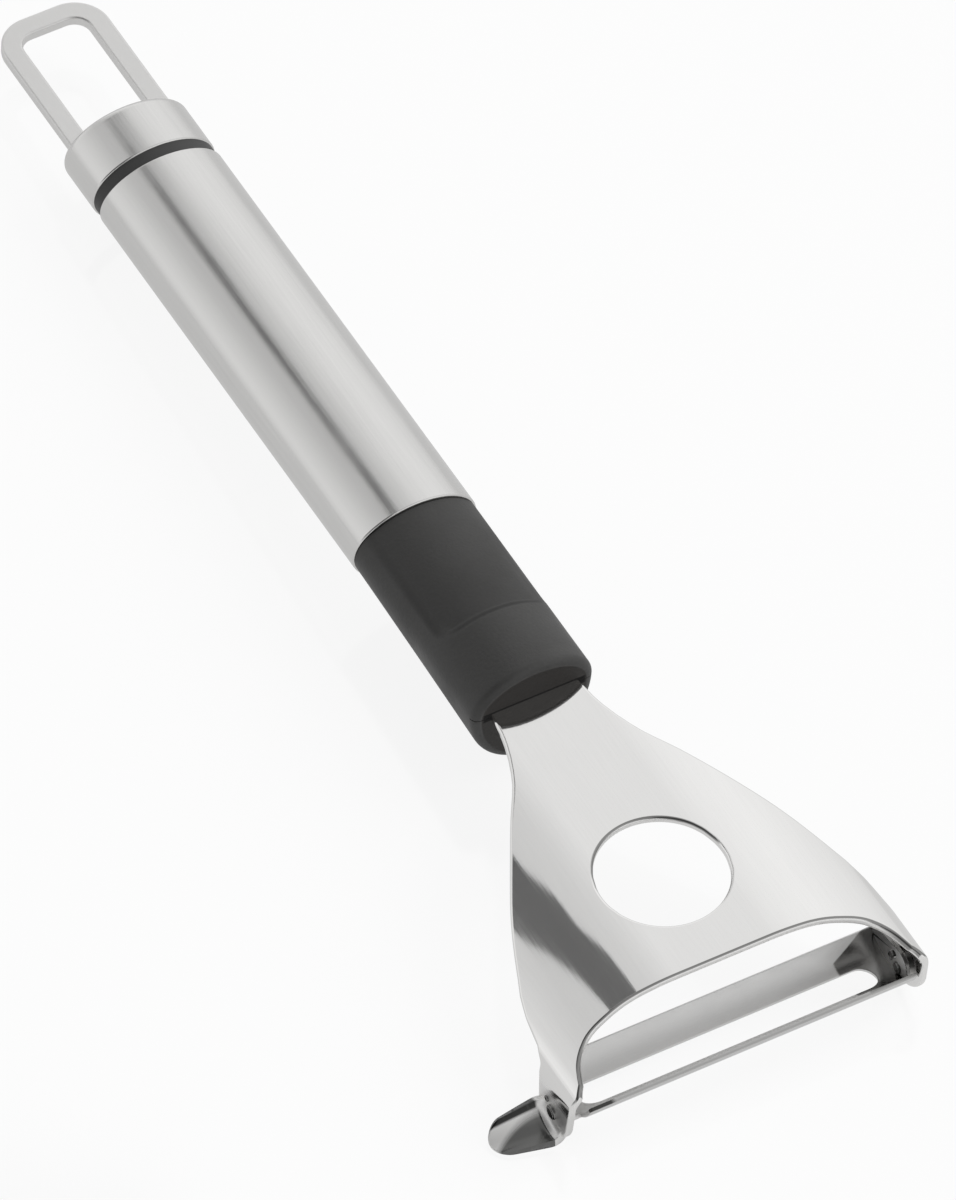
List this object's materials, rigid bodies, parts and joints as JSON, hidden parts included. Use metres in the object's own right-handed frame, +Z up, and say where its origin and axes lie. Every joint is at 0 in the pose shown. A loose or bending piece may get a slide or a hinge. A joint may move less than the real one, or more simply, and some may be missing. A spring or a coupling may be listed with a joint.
{
  "type": "vegetable peeler",
  "caption": "Wide-headed peeler with a slotted swivel blade between two ears, a side gouge, a soft collar, an oval steel handle and a flat hanging loop.",
  "frame": {"origin": "centre of the round hole in the head, at mid-sheet", "axes": "+Z up out of the flat middle of the head, +Y from the head along the handle to the hanging loop, +X across the head away from the gouge"},
  "size_m": [0.0671, 0.2047, 0.0241],
  "materials": {
    "polished_steel": "mirror polished",
    "blade_steel": "satin, fine grain along the blade",
    "pin_steel": "plain",
    "black_core": "matt",
    "soft_black": "soft-touch matt",
    "brushed_steel": "brushed round the handle",
    "black_ring": "matt",
    "loop_steel": "satin"
  },
  "bodies": {
    "handle": {"head_plate": "polished_steel", "pivot_pin_left": "pin_steel", "pivot_pin_right": "pin_steel", "stop_pin_left": "pin_steel", "stop_pin_right": "pin_steel", "grip_core": "black_core", "grip_collar": "soft_black", "tang_pins": "pin_steel", "handle_tube": "brushed_steel", "cap_ring": "black_ring", "end_cap": "brushed_steel", "end_plug": "black_core", "hanging_loop": "loop_steel", "loop_pins": "pin_steel"},
    "blade": {"swivel_blade": "blade_steel"}
  },
  "joints": [
    {"name": "blade_swivel", "type": "hinge", "parent": "handle", "child": "blade", "pos_m": [0, -0.0208, -0.013], "axis": [1, 0, 0], "range_deg": [-10, 30]}
  ]
}
